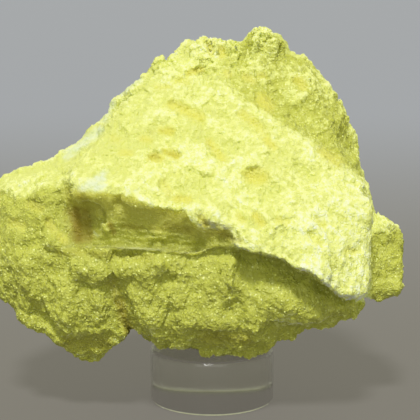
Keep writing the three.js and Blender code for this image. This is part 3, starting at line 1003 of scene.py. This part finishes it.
def coloured(tree, shader, paleness):
    """Goes from deep to pale yellow with this number, and to gold, to a dark brown that is mostly painted
    shade and to a dusty white that is partly painted highlight, as the mesh's shares say."""
    colour = blended(tree, between(tree, paleness, 0.0, 0.5), DEEP_YELLOW, LEMON_YELLOW)
    colour = blended(tree, between(tree, paleness, 0.4, 1.0), colour, PALE_YELLOW)
    for share, overlay in (("gold", PIT_GOLD), ("amber_and_shade", AMBER_AND_SHADE), ("white", WHITE_DUST_AND_HIGHLIGHT)):
        colour = blended(tree, share_of(tree, share), colour, overlay)
    tree.links.new(colour, shader.inputs["Base Color"])


def lit_through(tree, shader):
    """Light that goes a little way into the stone, the yellow further than the blue, and furthest
    where it's clear."""
    set_inputs(shader, {"Subsurface Weight": 0.8, "Subsurface Radius": (1.0, 0.98, 0.65)})
    depth = between(tree, share_of(tree, "clear"), 0, 1, start=DULL_DEPTH * MM, end=CLEAR_DEPTH * MM)
    tree.links.new(depth, shader.inputs["Subsurface Scale"])


def sulfur_material():
    """The stone: powdery and matt on its front, with gritty, crystalline faces elsewhere."""
    material, tree, shader = new_material("sulfur")
    crystal = share_of(tree, "crystal")
    away, chance = grain_cells(tree, size_mm=0.55)
    tops = between(tree, away, 0.1, 0.6, start=1, end=-1)

    # Patches and specks vary the paleness at random, and the tops of grains are paler, a painted highlight;
    # all of it most of all on faces turned to the key light
    patches = speckle(tree, size_mm=4.5, detail=5.0, roughness=0.65)
    patches = between(tree, patches, 0.36, 0.60, start=-0.18, end=0.18)
    specks = speckle(tree, size_mm=1.2, detail=3.0, roughness=0.6)
    specks = between(tree, specks, 0.40, 0.60, start=-1, end=1)
    mottling = added(tree, added(tree, patches, specks, 0.32), tops, 0.18)
    mottling = times(tree, mottling, between(tree, share_of(tree, "key_lit"), 0.1, 0.6, start=0.4, end=1))
    paleness = added(tree, share_of(tree, "pale"), mottling, 1.0)

    # Only crystalline stone gets very deep in colour, and some grains of it are painted bright as painted
    # glints
    paleness = at_least(tree, paleness, between(tree, crystal, 0, 0.5, start=0.25, end=0))
    bright = times(tree, between(tree, chance, 0.72, 0.95), between(tree, away, 0.2, 0.5, start=1, end=0))
    paleness = added(tree, paleness, times(tree, bright, crystal), 0.4)
    coloured(tree, shader, paleness)

    tree.links.new(between(tree, crystal, 0, 1, start=0.7, end=0.35), shader.inputs["Roughness"])
    set_inputs(shader, {"Specular IOR Level": 0.2})
    grit = added(tree, speckle(tree, size_mm=0.35, detail=3.0, roughness=0.6), tops, 0.35)
    bumped(tree, shader, grit, height_mm=0.3, strength=0.7)
    lit_through(tree, shader)
    return material


def grain_material():
    """The small crystals: glossy, and each a little different in tone."""
    material, tree, shader = new_material("sulfur_grains")
    coloured(tree, shader, added(tree, share_of(tree, "pale"), share_of(tree, "tone"), 0.3))
    set_inputs(shader, {"Roughness": 0.25, "Specular IOR Level": 0.4})
    return material


def acrylic_material():
    """The stand: clear acrylic with a soft polish, tinted grey, which partly paints the shade under the
    stone.
    """
    material, _, shader = new_material("clear_acrylic")
    set_inputs(shader, {"Base Color": (*ACRYLIC_SHADE_TINT, 1), "Roughness": 0.2, "Transmission Weight": 1.0})
    set_inputs(shader, {"IOR": 1.49, "Specular IOR Level": 0.25})
    return material


def dress(obj, material):
    """Gives the object this material alone."""
    obj.data.materials.clear()
    obj.data.materials.append(material)


# Stage, light and camera

# How far the floor reaches, and over what depth it goes from its near to its far colours, both in metres
FLOOR_REACH = 6.0
FLOOR_FADE = 0.5
# The floor's glow is painted light: it keeps the shadows on the floor faint and lights the stone from below
NEAR_FLOOR = (0.038, 0.035, 0.031)
FAR_FLOOR = (0.07, 0.072, 0.078)
NEAR_GLOW = (0.145, 0.135, 0.115)
FAR_GLOW = (0.235, 0.245, 0.272)

# The light from all round, a soft key light from above and a very soft low fill light from the front
SKY_COLOUR = (0.97, 1.0, 0.66)
SKY_STRENGTH = 0.5
KEY_STRENGTH = 3.45
KEY_SOFTNESS = math.radians(9)
KEY_ELEVATION = math.radians(55)
KEY_FROM_LEFT = math.radians(6)
FILL_STRENGTH = 1.2
FILL_SOFTNESS = math.radians(60)
FILL_ELEVATION = math.radians(5)

# The brightness that comes out white, where the curve that leads there has its points, and its number
WHITE_POINT = 1.5
CURVE_POINTS = (0.15, 0.3, 0.45, 0.6, 0.75, 0.87)
COMBINED_CURVE = 3


def make_floor():
    """A plain floor that glows faintly, warm near the stand and cool behind it."""
    corners = np.array([[-1, -1, 0], [1, -1, 0], [1, 1, 0], [-1, 1, 0]]) * FLOOR_REACH / MM
    floor = mesh_object("floor", corners, np.array([[0, 1, 2, 3]]))
    material, tree, shader = new_material("floor")
    parts = tree.nodes.new("ShaderNodeSeparateXYZ")
    tree.links.new(object_place(tree), parts.inputs["Vector"])
    far = between(tree, parts.outputs["Y"], 0.0, FLOOR_FADE)
    tree.links.new(blended(tree, far, NEAR_FLOOR, FAR_FLOOR), shader.inputs["Base Color"])
    tree.links.new(blended(tree, far, NEAR_GLOW, FAR_GLOW), shader.inputs["Emission Color"])
    set_inputs(shader, {"Emission Strength": 1.0, "Roughness": 0.8})
    dress(floor, material)


def add_sun(name, strength, softness, elevation, from_left=0.0):
    """A far light at this elevation, in front of the specimen and this far round to the left."""
    light = bpy.data.lights.new(name, "SUN")
    light.energy = strength
    light.angle = softness
    lamp = bpy.data.objects.new(name, light)
    flat = math.cos(elevation)
    towards = Vector((-flat * math.sin(from_left), -flat * math.cos(from_left), math.sin(elevation)))
    lamp.rotation_euler = (-towards).to_track_quat("-Z", "Y").to_euler()
    bpy.context.scene.collection.objects.link(lamp)


def make_lights():
    """The light from all round, the key light and the fill light."""
    world = bpy.data.worlds.new("studio")
    world.use_nodes = True
    set_inputs(world.node_tree.nodes["Background"], {"Color": (*SKY_COLOUR, 1), "Strength": SKY_STRENGTH})
    bpy.context.scene.world = world
    add_sun("key", KEY_STRENGTH, KEY_SOFTNESS, KEY_ELEVATION, KEY_FROM_LEFT)
    add_sun("fill", FILL_STRENGTH, FILL_SOFTNESS, FILL_ELEVATION)


def make_camera():
    """The camera from where the photograph was taken."""
    data = bpy.data.cameras.new("camera")
    data.sensor_width = 36.0
    data.lens = data.sensor_width * FOCAL_PX / PHOTO_SIDE
    data.clip_start = 0.01
    data.clip_end = 50.0
    camera = bpy.data.objects.new("camera", data)
    camera.location = Vector(CAMERA_AT * MM)
    camera.rotation_euler = (math.pi / 2 - CAMERA_PITCH, 0, 0)
    bpy.context.scene.collection.objects.link(camera)
    bpy.context.scene.camera = camera


def set_tone_curve():
    """A camera's soft shoulder: bright light fades towards white instead of being cut off."""
    view = bpy.context.scene.view_settings
    view.view_transform = "Standard"
    view.look = "None"
    view.use_curve_mapping = True
    view.curve_mapping.white_level = (WHITE_POINT,) * 3
    curve = view.curve_mapping.curves[COMBINED_CURVE]
    for share in CURVE_POINTS:
        curve.points.new(share, WHITE_POINT * share - (WHITE_POINT - 1) * share ** 3)
    view.curve_mapping.update()


def make_specimen():
    """The surface in its pieces, and the small crystals on each, most of them where the stone is
    crystalline and faces the front."""
    points, triangles = solid_arrays(frame["nodes"]["sulfur"].data)
    tree = BVHTree.FromPolygons(points.tolist(), triangles.tolist())
    stone = sulfur_material()
    sparkle = grain_material()
    for surface, shares in make_surface(distance_grid(points, triangles), tree):
        dress(surface, stone)
        weight = (0.2 + 0.8 * shares["front"]) * shares["crystal"] ** 2
        name = surface.name.replace("sulfur", "crystals")
        dress(make_grains(name, surface, shares, weight), sparkle)


make_camera()
make_lights()
make_floor()
make_specimen()
dress(frame["nodes"]["stand"], acrylic_material())

set_tone_curve()
